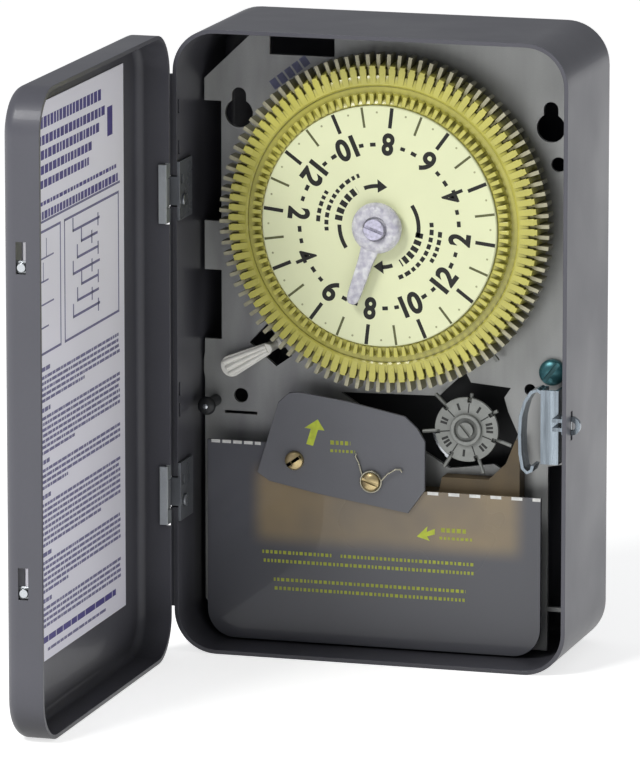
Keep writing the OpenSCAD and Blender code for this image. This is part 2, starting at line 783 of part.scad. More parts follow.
// Smoked sheet over the terminals: stepped top edge, round lower corners.
module insulator_cover() {
    left = -57;
    right = 51;
    foot = -inner_z + 0.6;
    low_r = 9;
    color("#44474a") plate(cover_depth, cover_t) difference() {
        union() {
            translate([left, foot + low_r]) square([right - left, -46 - foot - low_r]);
            translate([left + low_r, foot]) square([right - left - 2 * low_r, low_r]);
            for (x = [left + low_r, right - low_r])
                translate([x, foot + low_r]) circle(r = low_r, $fn = smooth);
            translate([left, -46]) square([37, 12.6]);
        }
        translate(brass_places[0]) circle(r = 1.5, $fn = smooth);
        translate(brass_places[1]) circle(r = cover_post_r + 0.2, $fn = smooth);
    }
}

module cover_posts() {
    starts = [cover_depth + cover_t, cover_depth];
    color("silver") for (i = [0, 1]) difference() {
        bar(brass_places[i][0], brass_places[i][1], starts[i], plate_depth - starts[i], cover_post_r);
        bar(brass_places[i][0], brass_places[i][1], cover_depth - 1, 6.8, 1.5);
    }
}

module pointer_plate() {
    outline = [[-26.5, -16.6], [-11.5, -18.6], [7.5, -22.4], [11.6, -26], [14, -30], [14, -45.5],
        [8.6, -53], [-20.3, -48.6], [-36.4, -45.4], [-40.3, -42.8], [-33.4, -20], [-30, -17]];
    color("#6a6d72") plate(pointer_depth, pointer_t) difference() {
        polygon(outline);
        for (p = brass_places) translate(p) circle(r = 1.5, $fn = smooth);
    }
}

module brass_screws() {
    color("#d9c27a") for (p = brass_places)
        slotted_screw(p[0], p[1], pointer_depth - 1.6, 1.6, brass_r, 6, 1.5, 0);
}

// Torsion spring round the right brass screw, its two ends spread upwards.
module wire_spring() {
    centre = brass_places[1];
    color("#b5ad86") plate(pointer_depth - 0.6, 0.6) {
        translate(centre) ring2d(brass_r + 0.8, brass_r + 0.2);
        link(centre + polar(brass_r + 0.5, 145), [-7.1, -35.6], 0.2);
        link(centre + polar(brass_r + 0.5, 44), [5.4, -38.8], 0.2);
    }
}

case_body();
mounting_posts();
post_screws();
ground_screw();
side_stud();
hinge_case_leaves();
hinge_pins();
case_leaf_rivets();
latch_clip();
door_shell();
hinge_door_leaves();
door_label();
door_catch_clips();
chassis_plate();
rear_plate();
plate_pillars();
dial_arbor();
time_pointer();
pointer_screw();
lever_stud();
day_stud();
dial_face();
dial_front_ring();
dial_rear_ring();
dial_hub();
dial_gear();
trippers();
day_kicker();
loose_tripper(0);  // tripper_1
loose_tripper(1);  // tripper_2
loose_tripper(2);  // tripper_3
motor_pinion();
motor_can();
motor_coil();
motor_core();
motor_screws();
motor_leads();
day_wheel();
day_carrier();
detent_spring();
day_pin(0);  // day_pin_1
day_pin(1);  // day_pin_2
day_pin(2);  // day_pin_3
day_pin(3);  // day_pin_4
day_pin(4);  // day_pin_5
day_pin(5);  // day_pin_6
day_pin(6);  // day_pin_7
manual_lever();
switch_arm();
moving_contact();
fixed_contact();
terminal_board();
terminal_screws();
terminal_clamps();
insulator_cover();
cover_posts();
pointer_plate();
brass_screws();
wire_spring();
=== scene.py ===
"""Looks of the dial time switch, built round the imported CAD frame.

Lengths are in millimetres until a mesh is made. "depth" is the distance behind the case's rim plane,
which is the frontmost face of the case, so the printed face of the dial has a depth of 9.
"""

import math
import random

import bmesh
import bpy
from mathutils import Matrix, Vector


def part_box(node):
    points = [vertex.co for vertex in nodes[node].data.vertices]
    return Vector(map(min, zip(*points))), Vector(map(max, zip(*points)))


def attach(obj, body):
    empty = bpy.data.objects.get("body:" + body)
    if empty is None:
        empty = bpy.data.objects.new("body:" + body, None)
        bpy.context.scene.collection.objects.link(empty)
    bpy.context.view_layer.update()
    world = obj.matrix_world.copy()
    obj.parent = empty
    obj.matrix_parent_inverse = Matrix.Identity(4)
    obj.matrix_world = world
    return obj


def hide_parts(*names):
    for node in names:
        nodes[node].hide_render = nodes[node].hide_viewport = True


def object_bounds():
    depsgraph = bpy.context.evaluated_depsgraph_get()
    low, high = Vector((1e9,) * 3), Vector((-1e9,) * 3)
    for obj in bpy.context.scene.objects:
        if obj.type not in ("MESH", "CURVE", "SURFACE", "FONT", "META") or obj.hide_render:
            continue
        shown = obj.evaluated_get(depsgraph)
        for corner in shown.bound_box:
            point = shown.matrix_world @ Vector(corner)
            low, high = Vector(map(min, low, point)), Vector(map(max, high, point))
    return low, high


MM = 0.001
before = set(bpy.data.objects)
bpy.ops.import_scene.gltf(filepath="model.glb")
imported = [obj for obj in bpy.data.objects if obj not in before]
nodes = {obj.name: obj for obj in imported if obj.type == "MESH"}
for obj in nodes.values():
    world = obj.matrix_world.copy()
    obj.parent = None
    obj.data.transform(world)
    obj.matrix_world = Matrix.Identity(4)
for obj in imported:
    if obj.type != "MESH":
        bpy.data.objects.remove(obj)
cad_low, cad_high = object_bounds()
rng = random.Random(11)


def node_box(name):
    low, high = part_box(name)
    return low / MM, high / MM


def node_centre(name):
    low, high = node_box(name)
    return (low + high) / 2


RIM = node_box("case_body")[0].y
DIAL = node_centre("dial_arbor")
WHEEL = node_centre("day_stud")
STOPS = 96
PRINT_T = 0.03  # thickness of a film of ink


def at(x, depth, z):
    """A point in millimetres from its depth behind the rim."""
    return Vector((x, RIM + depth, z))


def depth_of(name):
    """Front and back depth of a CAD node."""
    low, high = node_box(name)
    return low.y - RIM, high.y - RIM


# ---- Materials ----


def linear(code):
    """Scene colour of a hex screen colour."""
    out = []
    for i in (0, 2, 4):
        c = int(code[i : i + 2], 16) / 255
        out.append(c / 12.92 if c <= 0.04045 else ((c + 0.055) / 1.055) ** 2.4)
    return (*out, 1.0)


def add_node(tree, kind, inputs=(), **props):
    n = tree.nodes.new(kind)
    for key, value in props.items():
        setattr(n, key, value)
    for key, value in dict(inputs).items():
        if hasattr(value, "is_output"):
            tree.links.new(value, n.inputs[key])
        else:
            n.inputs[key].default_value = value
    return n


def grain_of(tree, scale, stretch=(1, 1, 1), detail=5.0):
    """Noise in the piece's own coordinates, so that it rides with the piece."""
    coord = add_node(tree, "ShaderNodeTexCoord")
    mapping = add_node(tree, "ShaderNodeMapping", {"Vector": coord.outputs["Object"], "Scale": stretch})
    noise = add_node(
        tree, "ShaderNodeTexNoise", {"Vector": mapping.outputs["Vector"], "Scale": scale, "Detail": detail}
    )
    return noise.outputs["Fac"]


def spread(tree, value, low, high, start=0.3, end=0.7):
    return add_node(
        tree,
        "ShaderNodeMapRange",
        {"Value": value, "From Min": start, "From Max": end, "To Min": low, "To Max": high},
    ).outputs["Result"]


def mixed(tree, factor, a, b):
    n = add_node(tree, "ShaderNodeMix", data_type="RGBA")
    for socket, value in ((0, factor), (6, a), (7, b)):
        if hasattr(value, "is_output"):
            tree.links.new(value, n.inputs[socket])
        else:
            n.inputs[socket].default_value = value
    return n.outputs[2]


def scaled(colour, k):
    return (*(min(1.0, c * k) for c in colour[:3]), 1.0)


def surface(
    name,
    code,
    rough=0.45,
    metal=0.0,
    tone=0.12,
    blotch=60.0,
    grain=1800.0,
    stretch=(1, 1, 1),
    bump=0.02,
    occlusion_shade=0.0,
    occlusion_shade_code="1a1a16",
    occlusion_shade_reach=1.5,
    coat=0.0,
    fixed=(),
):
    """A worn, grained surface: broad blotches, fine grain, uneven gloss, and painted shade that darkens it in
    recesses and where pieces meet.
    """
    mat = bpy.data.materials.new(name)
    mat.use_nodes = True
    tree = mat.node_tree
    shader = tree.nodes["Principled BSDF"]
    base = linear(code)
    broad = grain_of(tree, blotch, stretch, 3.0)
    fine = grain_of(tree, grain, stretch)
    colour = mixed(tree, spread(tree, broad, 0, 1), scaled(base, 1 - tone), scaled(base, 1 + tone))
    colour = mixed(tree, spread(tree, fine, 0, tone), colour, scaled(base, 0.6))
    # Painted shade: an ambient-occlusion mask darkens the colour towards the shade colour in recesses and
    # where pieces meet.
    if occlusion_shade:
        hidden = add_node(tree, "ShaderNodeAmbientOcclusion", {"Distance": occlusion_shade_reach * MM}, samples=6)
        shade_amount = spread(tree, hidden.outputs["AO"], occlusion_shade, 0.0, 0.25, 0.95)
        colour = mixed(tree, shade_amount, colour, linear(occlusion_shade_code))
    tree.links.new(colour, shader.inputs["Base Color"])
    tree.links.new(spread(tree, broad, rough - 0.06, rough + 0.08), shader.inputs["Roughness"])
    shader.inputs["Metallic"].default_value = metal
    shader.inputs["Coat Weight"].default_value = coat
    for key, value in dict(fixed).items():
        shader.inputs[key].default_value = value
    relief = add_node(tree, "ShaderNodeBump", {"Height": fine, "Distance": bump * MM, "Strength": 0.6})
    tree.links.new(relief.outputs["Normal"], shader.inputs["Normal"])
    return mat


def ink(name, code, rough):
    """Printed ink, a little uneven where it was laid down."""
    return surface(name, code, rough=rough, tone=0.18, blotch=500, grain=4000, bump=0.004)


LOOKS = {
    # Painted shade: the enamel's occlusion darkening reaches 24 mm, so the inside of the case is painted
    # dark.
    "enamel": dict(
        code="57575e", rough=0.36, coat=0.08, tone=0.06, blotch=25, grain=900, bump=0.03, occlusion_shade=0.8,
        occlusion_shade_code="161618", occlusion_shade_reach=24, fixed=(("Specular IOR Level", 0.3),)
    ),
    "zinc_plate": dict(
        code="9fa09f", rough=0.38, metal=0.5, tone=0.24, blotch=34, grain=2500, stretch=(3, 3, 0.7),
        occlusion_shade=0.35
    ),
    "bright_steel": dict(code="bcc0c4", rough=0.24, metal=0.95, tone=0.08, occlusion_shade=0.6),
    "hinge_steel": dict(code="b0b5b6", rough=0.3, metal=0.7, tone=0.14, occlusion_shade=0.5),
    "green_screw": dict(code="3f7076", rough=0.3, metal=0.55, tone=0.2, blotch=300, occlusion_shade=0.7),
    "dark_steel": dict(code="2a2b2d", rough=0.45, metal=0.3, tone=0.2),
    "painted_leaf": dict(code="6f7277", rough=0.3, metal=0.35, tone=0.14, occlusion_shade=0.5),
    # Painted reflection: strong vertical light and dark streaks stand in for reflections on the latch, and
    # its occlusion darkening is painted shade.
    "latch_steel": dict(
        code="8d97a0", rough=0.2, metal=0.85, tone=0.55, blotch=170, stretch=(3, 3, 0.2), occlusion_shade=0.8
    ),
    "hub_screw": dict(code="c9c6da", rough=0.3, metal=0.1, tone=0.3, blotch=700, bump=0.1, occlusion_shade=0.4),
    "label_card": dict(code="efedf8", rough=0.5, tone=0.03, blotch=20, grain=3000, bump=0.01),
    "brass": dict(code="cdb98a", rough=0.3, metal=0.9, tone=0.15, blotch=300, occlusion_shade=0.6),
    "wheel_metal": dict(code="8e908c", rough=0.45, metal=0.35, tone=0.16, blotch=250, occlusion_shade=0.6),
    "face_plastic": dict(code="e4e8bd", rough=0.38, tone=0.025, blotch=60, bump=0.006, coat=0.1),
    # Painted shade: the yellow moulding is darkened to olive in the slots between its teeth.
    "yellow_plastic": dict(
        code="c4be5a", rough=0.28, tone=0.1, blotch=90, bump=0.01, occlusion_shade=0.85, occlusion_shade_code="524c12",
        occlusion_shade_reach=1.6, coat=0.3,
    ),
    # Painted shade and reflection: the fins darken towards a yellow-olive where they sit in the crown's
    # slots.
    "tripper_metal": dict(
        code="b0ac92", rough=0.35, metal=0.45, tone=0.2, blotch=400, occlusion_shade=0.9, occlusion_shade_code="7d7638",
        occlusion_shade_reach=2.5
    ),
    "motor_shell": dict(code="9a9da0", rough=0.35, metal=0.85, tone=0.1),
    "coil_tape": dict(code="7a4526", rough=0.5, tone=0.2, stretch=(14, 1, 1), blotch=60, bump=0.06),
    "lead_insulation": dict(code="a33a2e", rough=0.5, tone=0.08),
    "lever_plastic": dict(code="faf8f0", rough=0.22, tone=0.05, blotch=200, bump=0.01, coat=0.5),
    "phenolic": dict(code="5f513a", rough=0.55, tone=0.2, blotch=90, grain=2600, bump=0.04),
    "silver_contact": dict(code="dadada", rough=0.2, metal=1.0, tone=0.08),
    "pointer_paint": dict(code="66676c", rough=0.42, tone=0.06, blotch=40, grain=1500, bump=0.02),
    "spring_wire": dict(code="b8b4a2", rough=0.28, metal=0.9, tone=0.15, blotch=500),
}
INK_ROUGH, FRESH_INK_ROUGH = 0.5, 0.4
INKS = {
    "black_ink": "12120c",
    "thin_ink": "5c5e38",
    "grey_ink": "a4a67c",
    "violet_ink": "76739a",
    "dark_violet_ink": "524a8c",
    "white_ink": "dededa",
    "lime_ink": "bcc93a",
    "faded_lime_ink": "a3ab35",
    "wheel_ink": "262625",
    "stamp_ink": "6d7092",
}
MAT = {name: surface(name, **look) for name, look in LOOKS.items()}
for name, code in INKS.items():
    MAT[name] = ink(name, code, FRESH_INK_ROUGH if name == "lime_ink" else INK_ROUGH)


def clear_plastic():
    """Clear moulding with a faint violet cast and the rippled surface of a pressed part; its strong pale and
    dark mottling is partly painted highlight speckle.
    """
    mat = surface("clear_plastic", "e6e3f4", rough=0.1, tone=0.3, blotch=520, grain=420, bump=1.6)
    shader = mat.node_tree.nodes["Principled BSDF"]
    shader.inputs["Transmission Weight"].default_value = 0.2
    shader.inputs["IOR"].default_value = 1.49
    return mat


def smoked_sheet():
    """Smoked sheet: grey, with the brown board close behind it showing as a soft-edged patch."""
    mat = surface("smoked_sheet", "4c4d53", rough=0.3, tone=0.05, blotch=18, grain=1200, bump=0.006, coat=0.3)
    tree = mat.node_tree
    shader = tree.nodes["Principled BSDF"]
    colour = shader.inputs["Base Color"].links[0].from_socket
    low, high = node_box("terminal_board")
    coord = add_node(tree, "ShaderNodeTexCoord")
    parts = add_node(tree, "ShaderNodeSeparateXYZ", {"Vector": coord.outputs["Object"]})
    wobble = grain_of(tree, 45, detail=2.0)
    patch = None
    for axis, start, end, soft in (
        ("X", low.x + 1, high.x, 7.0),
        ("Z", low.z + 1, low.z + 22, 7.0),
    ):
        for edge, inward in ((start, 1), (end, -1)):
            side = add_node(
                tree,
                "ShaderNodeMapRange",
                {
                    "Value": parts.outputs[axis],
                    "From Min": (edge - inward * soft * 0.6) * MM,
                    "From Max": (edge + inward * soft * 0.4) * MM,
                },
                interpolation_type="SMOOTHSTEP",
            ).outputs["Result"]
            if patch is None:
                patch = side
            else:
                patch = add_node(tree, "ShaderNodeMath", {0: patch, 1: side}, operation="MULTIPLY").outputs[0]
    amount = add_node(
        tree, "ShaderNodeMath", {0: patch, 1: spread(tree, wobble, 0.5, 0.85)}, operation="MULTIPLY"
    ).outputs[0]
    tree.links.new(mixed(tree, amount, colour, linear("94815f")), shader.inputs["Base Color"])
    return mat


MAT["clear_plastic"] = clear_plastic()
MAT["smoked_sheet"] = smoked_sheet()


# ---- Mesh building ----


class Shape:
    """Collects the faces of one piece."""

    def __init__(self):
        self.verts = []
        self.faces = []

    def add(self, verts, faces):
        start = len(self.verts)
        self.verts += [tuple(v) for v in verts]
        self.faces += [tuple(start + i for i in f) for f in faces]
        return self

    def box(self, xs, ys, zs):
        """A box between the two values given for each axis, in millimetres of the frame."""
        verts = [(x, y, z) for x in xs for y in ys for z in zs]
        faces = [(0, 1, 3, 2), (4, 6, 7, 5), (0, 4, 5, 1), (2, 3, 7, 6), (0, 2, 6, 4), (1, 5, 7, 3)]
        return self.add(verts, faces)

    def prism(self, outline, front, back):
        """A flat outline in x and z, from one depth to another."""
        n = len(outline)
        verts = [at(x, d, z) for d in (front, back) for x, z in outline]
        sides = [(i, (i + 1) % n, n + (i + 1) % n, n + i) for i in range(n)]
        return self.add(verts, [tuple(range(n)), tuple(range(2 * n - 1, n - 1, -1)), *sides])

    def lathe(self, centre, profile, steps=96, closed=False):
        """A profile of (radius, depth) turned about a line along Y. closed joins its two ends."""
        rings = [
            [at(centre.x + r * math.cos(a), d, centre.z + r * math.sin(a)) for r, d in profile]
            for a in (2 * math.pi * k / steps for k in range(steps))
        ]
        m = len(profile)
        last = m if closed else m - 1
        faces = [
            (k * m + j, k * m + (j + 1) % m, (k + 1) % steps * m + (j + 1) % m, (k + 1) % steps * m + j)
            for k in range(steps)
            for j in range(last)
        ]
        return self.add([p for ring in rings for p in ring], faces)

    def tube(self, points, radius, sides=10):
        """A round wire through these points."""
        points = [Vector(p) for p in points]
        rings = []
        side = None
        for i, p in enumerate(points):
            along = (points[min(i + 1, len(points) - 1)] - points[max(i - 1, 0)]).normalized()
            if side is None:
                side = along.orthogonal().normalized()
            side = (side - along * side.dot(along)).normalized()
            up = along.cross(side)
            angles = [2 * math.pi * k / sides for k in range(sides)]
            rings.append([p + radius * (side * math.cos(a) + up * math.sin(a)) for a in angles])
        verts = [v for ring in rings for v in ring]
        faces = [
            (low + k, low + (k + 1) % sides, low + sides + (k + 1) % sides, low + sides + k)
            for low in range(0, (len(points) - 1) * sides, sides)
            for k in range(sides)
        ]
        end = (len(points) - 1) * sides
        return self.add(verts, [*faces, tuple(range(sides))[::-1], tuple(range(end, end + sides))])

    def mesh(self, name):
        mesh = bpy.data.meshes.new(name)
        mesh.from_pydata([Vector(v) * MM for v in self.verts], [], self.faces)
        work = bmesh.new()
        work.from_mesh(mesh)
        bmesh.ops.remove_doubles(work, verts=work.verts, dist=1e-7)
        bmesh.ops.recalc_face_normals(work, faces=work.faces)
        work.to_mesh(mesh)
        work.free()
        return mesh


def soften(obj, width, segments=2, angle=32):
    """Rounds the edges and keeps flat faces flat."""
    for poly in obj.data.polygons:
        poly.use_smooth = True
    mod = obj.modifiers.new("edges", "BEVEL")
    mod.width = width * MM
    mod.segments = segments
    mod.limit_method = "ANGLE"
    mod.angle_limit = math.radians(angle)
    mod.harden_normals = True
    mod.miter_outer = "MITER_ARC"


def piece(name, shape, material, body, replaces=(), bevel=0.0, smooth=35):
    mesh = shape.mesh(name)
    obj = bpy.data.objects.new(name, mesh)
    bpy.context.scene.collection.objects.link(obj)
    mesh.materials.append(MAT[material])
    if bevel:
        soften(obj, bevel)
    else:
        mesh.shade_smooth()
        mesh.set_sharp_from_angle(angle=math.radians(smooth))
    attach(obj, body)
    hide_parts(*replaces)
    return obj


def dress(name, material, bevel=0.25):
    """Gives a CAD node its material and rounds its edges."""
    obj = nodes[name]
    obj.data.materials.clear()
    obj.data.materials.append(MAT[material])
    if "custom_normal" in obj.data.attributes:
        obj.data.attributes.remove(obj.data.attributes["custom_normal"])
    weld = obj.modifiers.new("weld", "WELD")
    weld.merge_threshold = 1e-6
    flat = obj.modifiers.new("flat", "DECIMATE")
    flat.decimate_type = "DISSOLVE"
    flat.angle_limit = math.radians(0.8)
    soften(obj, bevel)


def circle_points(cx, cz, r, start=0.0, end=360.0, steps=32):
    """Points on an arc in x and z; angles run from +X towards +Z."""
    full = abs(end - start) >= 360
    count = steps if full else steps + 1
    return [
        (cx + r * math.cos(math.radians(a)), cz + r * math.sin(math.radians(a)))
        for a in (start + (end - start) * k / steps for k in range(count))
    ]


def bar_outline(p, q, width):
    """A straight stroke from p to q as an outline."""
    (x0, z0), (x1, z1) = p, q
    length = math.hypot(x1 - x0, z1 - z0)
    nx, nz = (z0 - z1) / length * width / 2, (x1 - x0) / length * width / 2
    return [(x0 + nx, z0 + nz), (x1 + nx, z1 + nz), (x1 - nx, z1 - nz), (x0 - nx, z0 - nz)]


def round_screw(name, centre, depth, radius, dome, angle, material, replaces, shank):
    """A domed screw head with a cut slot and its shank behind. shank is its radius and its end depth."""
    edge = dome * 0.45
    profile = [(0.001, depth)]
    for k in range(1, 9):
        a = math.radians(k * 90 / 8)
        profile.append((radius * math.sin(a), depth + dome - edge - (dome - edge) * math.cos(a)))
    profile += [(radius, depth + dome), (0.001, depth + dome)]
    head = Shape().lathe(centre, profile, 48)
    obj = piece(name, head, material, "case", replaces=replaces, smooth=50)
    cut_slot(obj, centre, depth, radius, dome * 0.36, angle)
    shank_r, shank_end = shank
    rod = Shape().lathe(
        centre, [(0.001, depth + dome), (shank_r, depth + dome), (shank_r, shank_end), (0.001, shank_end)], 32
    )
    piece(name + "_shank", rod, material, "case")


def cut_slot(obj, centre, depth, radius, deep, angle):
    """Cuts a screwdriver slot and applies the cut."""
    a = math.radians(angle)
    reach = radius * 1.3
    along = (reach * math.cos(a), reach * math.sin(a))
    outline = bar_outline(
        (centre.x - along[0], centre.z - along[1]), (centre.x + along[0], centre.z + along[1]), radius * 0.34
    )
    tool_mesh = Shape().prism(outline, depth - 1, depth + deep).mesh("slot_tool")
    tool = bpy.data.objects.new("slot_tool", tool_mesh)
    bpy.context.scene.collection.objects.link(tool)
    mod = obj.modifiers.new("slot", "BOOLEAN")
    mod.object = tool
    mod.operation = "DIFFERENCE"
    bpy.context.view_layer.update()
    cut = bpy.data.meshes.new_from_object(obj.evaluated_get(bpy.context.evaluated_depsgraph_get()))
    obj.modifiers.clear()
    obj.data = cut
    cut.shade_smooth()
    cut.set_sharp_from_angle(angle=math.radians(40))
    bpy.data.objects.remove(tool)


# ---- CAD nodes that keep their own shape ----

CAD_LOOKS = {
    "enamel": (0.45, ["case_body", "door_shell"]),
    "zinc_plate": (0.2, ["chassis_plate", "mounting_posts"]),
    "bright_steel": (0.2, ["post_screws", "hinge_pins", "case_leaf_rivets",
                           "door_catch_clips", "dial_arbor", "lever_stud", "motor_screws", "detent_spring",
                           "terminal_screws", "cover_posts"]),
    "latch_steel": (0.25, ["latch_clip"]),
    "hub_screw": (0.2, ["pointer_screw"]),
    "hinge_steel": (0.2, ["hinge_door_leaves"]),
    "painted_leaf": (0.2, ["hinge_case_leaves"]),
    # The rear plate is given the near-black finish as painted shade, so the opening behind the day wheel
    # reads black.
    "dark_steel": (0.3, ["motor_core", "rear_plate"]),
    "brass": (0.12, ["plate_pillars", "dial_hub", "dial_gear", "motor_pinion", "terminal_clamps",
                     "fixed_contact"]),
    "wheel_metal": (0.15, ["day_carrier", "day_stud", "day_kicker", *(f"day_pin_{k}" for k in range(1, 8))]),
    "tripper_metal": (0.12, ["trippers", "tripper_1", "tripper_2", "tripper_3"]),
    "motor_shell": (0.6, ["motor_can"]),
    "coil_tape": (0.6, ["motor_coil"]),
    "lead_insulation": (0.1, ["motor_leads"]),
    "phenolic": (0.3, ["switch_arm", "terminal_board"]),
    "silver_contact": (0.15, ["moving_contact"]),
    "smoked_sheet": (0.3, ["insulator_cover"]),
    "pointer_paint": (0.3, ["pointer_plate"]),
}
for look, (edge, names) in CAD_LOOKS.items():
    for name in names:
        dress(name, look, edge)


# ---- Stamp on the chassis ----

STAMP_START, STAMP_END = (-39.0, 77.4), (-27.0, 86.6)
STAMP_LETTERS, STAMP_HEIGHT = 5, 3.2
stamp = Shape()
chassis_front = depth_of("chassis_plate")[0]
for k in range(STAMP_LETTERS):
    low, high = ((k + shift) / STAMP_LETTERS for shift in (0.08, 0.86))
    ends = [[a + (b - a) * along for a, b in zip(STAMP_START, STAMP_END)] for along in (low, high)]
    stamp.prism(bar_outline(*ends, STAMP_HEIGHT), chassis_front - PRINT_T, chassis_front)
piece("chassis_stamp", stamp, "stamp_ink", "case")


# ---- Dial ----

FACE_R = 37.6
FACE_DEPTH, FACE_BACK = depth_of("dial_face")

def dial_point(radius, clockwise):
    """A place on the dial from its radius and its clockwise angle from the top."""
    a = math.radians(clockwise)
    return (DIAL.x + radius * math.sin(a), DIAL.z + radius * math.cos(a))


face = Shape().lathe(
    DIAL,
    [(5.1, FACE_DEPTH + 0.2), (5.3, FACE_DEPTH), (FACE_R - 0.3, FACE_DEPTH), (FACE_R, FACE_DEPTH + 0.3),
     (FACE_R, FACE_BACK), (5.1, FACE_BACK)],
    192,
    closed=True,
)
piece("dial_face_plate", face, "face_plastic", "dial", replaces=["dial_face"])


def glyph(text, width, height, weight):
    """Vertices and faces of a flat figure, fitted to a width and a height and centred."""
    curve = bpy.data.curves.new("figure", "FONT")
    curve.body = text
    curve.offset = weight
    curve.space_character = 0.92
    obj = bpy.data.objects.new("figure", curve)
    bpy.context.scene.collection.objects.link(obj)
    bpy.context.view_layer.update()
    mesh = bpy.data.meshes.new_from_object(obj.evaluated_get(bpy.context.evaluated_depsgraph_get()))
    xs = [v.co.x for v in mesh.vertices]
    ys = [v.co.y for v in mesh.vertices]
    x0, x1, y0, y1 = min(xs), max(xs), min(ys), max(ys)
    verts = [
        ((v.co.x - (x0 + x1) / 2) / (x1 - x0) * width, (v.co.y - (y0 + y1) / 2) / (y1 - y0) * height)
        for v in mesh.vertices
    ]
    faces = [tuple(p.vertices) for p in mesh.polygons]
    bpy.data.objects.remove(obj)
    bpy.data.meshes.remove(mesh)
    return verts, faces


def print_faces(shape, verts, faces, front):
    """Lays flat faces down as a film of ink that stands on the surface at this depth."""
    n = len(verts)
    both = [at(x, d, z) for d in (front - PRINT_T, front) for x, z in verts]
    edges = {}
    for f in faces:
        for a, b in zip(f, f[1:] + f[:1]):
            edges[(a, b)] = edges.get((a, b), 0) + 1
    rims = [(a, b) for a, b in edges if (b, a) not in edges]
    shape.add(both, [*faces, *(tuple(i + n for i in f[::-1]) for f in faces),
                     *((a, b, b + n, a + n) for a, b in rims)])


HOUR_STEP = 30.0
TOP_HOUR = 8.3
NUMERALS = ["8", "6", "4", "2", "12", "10"]
WIDTHS = {"8": 3.9, "6": 4.3, "4": 4.0, "2": 3.9, "12": 6.8, "10": 6.8}
WEIGHTS = {"8": 0.038, "6": 0.03, "4": 0.016, "2": 0.038, "12": 0.038, "10": 0.038}
NUMERAL_R, NUMERAL_H = 25.9, 7.1
TICK_IN, TICK_OUT = 31.0, 37.3
TICK_W, HALF_TICK_W = 1.15, 0.75
DASH_R = 25.6
DASHES = ((-4.2, 1.5, 1.15), (4.2, 1.8, 1.2))  # shift in degrees, length, width
DOT_RING_R, DOT_R = 35.6, 0.35
black = Shape()
thin = Shape()
grey = Shape()


def stroke(shape, p, q, width):
    shape.prism(bar_outline(p, q, width), FACE_DEPTH - PRINT_T, FACE_DEPTH)


for k in range(12):
    turn = TOP_HOUR - 2 + k * HOUR_STEP
    word = NUMERALS[k % 6]
    verts, faces = glyph(word, WIDTHS[word], NUMERAL_H, WEIGHTS[word])
    a = math.radians(turn + 180)
    cx, cz = dial_point(NUMERAL_R, turn)
    placed = [
        (cx + x * math.cos(a) + y * math.sin(a), cz - x * math.sin(a) + y * math.cos(a)) for x, y in verts
    ]
    print_faces(black, placed, faces, FACE_DEPTH)
    stroke(black, dial_point(TICK_IN, turn), dial_point(TICK_OUT, turn), TICK_W)
    half = turn + HOUR_STEP / 2
    stroke(thin, dial_point(TICK_IN, half), dial_point(TICK_OUT, half), HALF_TICK_W)
    for shift, length, width in DASHES:
        spread_deg = math.degrees(length / 2 / DASH_R)
        ends = [dial_point(DASH_R, half + shift + s * spread_deg) for s in (-1, 1)]
        stroke(black, *ends, width)
    for quarter in (-HOUR_STEP / 4, HOUR_STEP / 4):
        spot = dial_point(DOT_RING_R, half + quarter)
        grey.prism(circle_points(*spot, DOT_R, steps=8), FACE_DEPTH - PRINT_T, FACE_DEPTH)

ARROW_R = 12.7
ARROW_W = 1.25
ARC_WORD_GAP = 0.75


def arc_stroke(start, end):
    """A curved stroke round the hub."""
    steps = 20
    angles = [start + (end - start) * k / steps for k in range(steps + 1)]
    outer = [dial_point(ARROW_R + ARROW_W / 2, a) for a in angles]
    inner = [dial_point(ARROW_R - ARROW_W / 2, a) for a in angles]
    black.prism(outer + inner[::-1], FACE_DEPTH - PRINT_T, FACE_DEPTH)


def arrow_head(tip):
    """An arrow head on the same curve that points clockwise."""
    length, half_width = 14.0, 2.1
    corners = [dial_point(ARROW_R + half_width, tip - length), dial_point(ARROW_R, tip),
               dial_point(ARROW_R - half_width, tip - length)]
    black.prism(corners, FACE_DEPTH - PRINT_T, FACE_DEPTH)


def greeked_arc(radius, start, end, height, widths):
    """Plain blocks along a curve that stand for words."""
    angle = start
    while angle < end:
        width = rng.uniform(*widths)
        sweep = math.degrees(width / radius)
        stroke(black, dial_point(radius, angle), dial_point(radius, min(angle + sweep, end)), height)
        angle += sweep + math.degrees(ARC_WORD_GAP / radius)


for base in (0, 180):
    greeked_arc(ARROW_R + 0.4, base - 84, base - 32, 2.4, (1.5, 1.7))
    greeked_arc(16.9, base - 97, base - 22, 1.3, (1.0, 1.9))
    greeked_arc(19.6, base - 88, base - 58, 1.3, (1.0, 1.9))

for tail_start, tail_end, arrow_start, arrow_tip in ((-124, -90, -22, 12), (56, 102, 160, 188)):
    arc_stroke(tail_start, tail_end)
    arc_stroke(arrow_start, arrow_tip - 13)
    arrow_head(arrow_tip)
piece("dial_print", black, "black_ink", "dial")
piece("dial_half_ticks", thin, "thin_ink", "dial")
piece("dial_quarter_dots", grey, "grey_ink", "dial")


